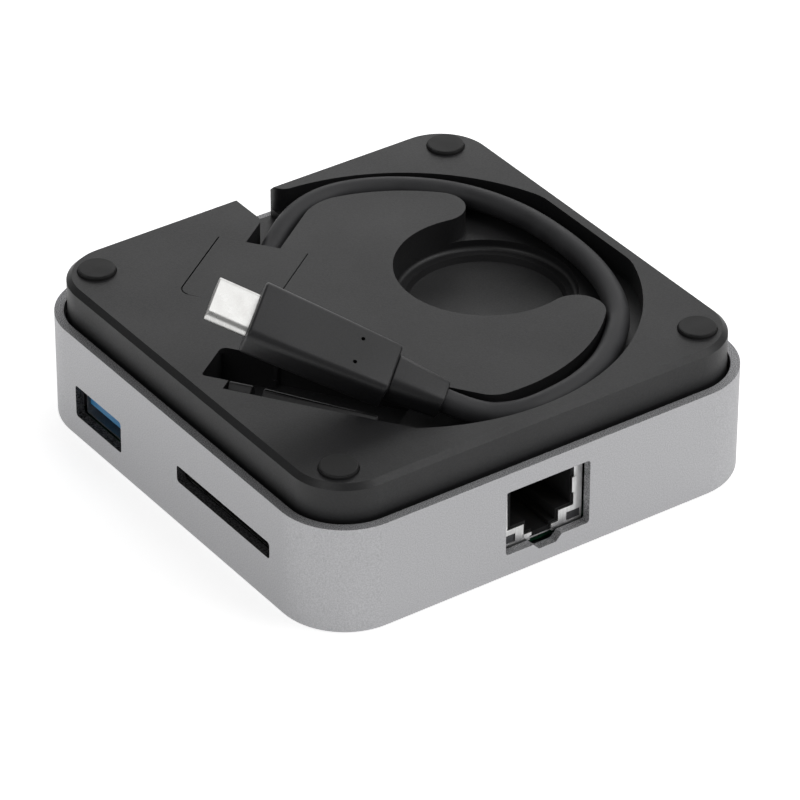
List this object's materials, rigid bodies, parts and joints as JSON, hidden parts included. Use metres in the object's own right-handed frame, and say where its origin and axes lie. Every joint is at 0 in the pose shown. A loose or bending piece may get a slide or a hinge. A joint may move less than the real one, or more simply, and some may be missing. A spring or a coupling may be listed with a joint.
{
  "type": "laptop docking station",
  "caption": "Square travel docking station shown base up, with its stowed cord in a groove round the base and sockets for network, data, cards, video and power.",
  "frame": {"origin": "bottom centre of the box, on the middle of the flat metal deck, which is the side the user looks down on once the dock is turned over", "axes": "+Z from the metal deck up through the base cover and its feet; -X is the side with the card slot and data socket, -Y the side with the network socket"},
  "size_m": [0.088, 0.088, 0.0444],
  "materials": {
    "shell_aluminium": "bead blasted and clear anodised",
    "base_plastic": "fine spark-eroded grain",
    "foot_rubber": "moulded, matt",
    "screw_steel": "black zinc plated",
    "circuit_board": "solder mask over glass-fibre board",
    "pillar_brass": "turned",
    "black_plastic": "moulded",
    "white_plastic": "moulded nylon",
    "blue_plastic": "moulded",
    "chip_resin": "moulded resin",
    "capacitor_can": "drawn can",
    "pad_silicone": "soft silicone",
    "socket_steel": "nickel-plated sheet",
    "contact_gold": "gold flash",
    "lamp_plastic": "smoked light guide",
    "cord_rubber": "matt extruded jacket",
    "plug_plastic": "fine grain, overmoulded"
  },
  "bodies": {
    "root": {"aluminium_shell": "shell_aluminium", "base_cover": "base_plastic", "cable_cover": "base_plastic", "foot_by_card_slot": "foot_rubber", "foot_by_network_socket": "foot_rubber", "foot_by_video_socket": "foot_rubber", "foot_by_usb_socket": "foot_rubber", "base_screws": "screw_steel", "board_screws": "screw_steel", "riser_screws": "screw_steel", "main_board": "circuit_board", "riser_board": "circuit_board", "riser_pillars": "pillar_brass", "riser_link": "black_plastic", "hub_chip": "chip_resin", "network_chip": "chip_resin", "power_chip": "chip_resin", "video_chip": "chip_resin", "network_transformer": "black_plastic", "power_inductor": "chip_resin", "lead_connector": "white_plastic", "capacitors": "capacitor_can", "thermal_pad": "pad_silicone", "network_shield": "socket_steel", "network_housing": "black_plastic", "network_contacts": "contact_gold", "network_lamps": "lamp_plastic", "side_usb_shell": "socket_steel", "side_usb_tongue": "blue_plastic", "side_usb_contacts": "contact_gold", "rear_usb_shell": "socket_steel", "rear_usb_tongue": "blue_plastic", "rear_usb_contacts": "contact_gold", "card_housing": "black_plastic", "card_cover": "socket_steel", "card_contacts": "contact_gold", "video_shell": "socket_steel", "video_tongue": "black_plastic", "power_shell": "socket_steel", "power_tongue": "black_plastic", "cord_grommet": "cord_rubber", "inner_leads": "cord_rubber", "cord": "cord_rubber", "plug_relief": "cord_rubber", "plug_body": "plug_plastic", "plug_shell": "socket_steel", "plug_insert": "black_plastic"}
  },
  "joints": []
}
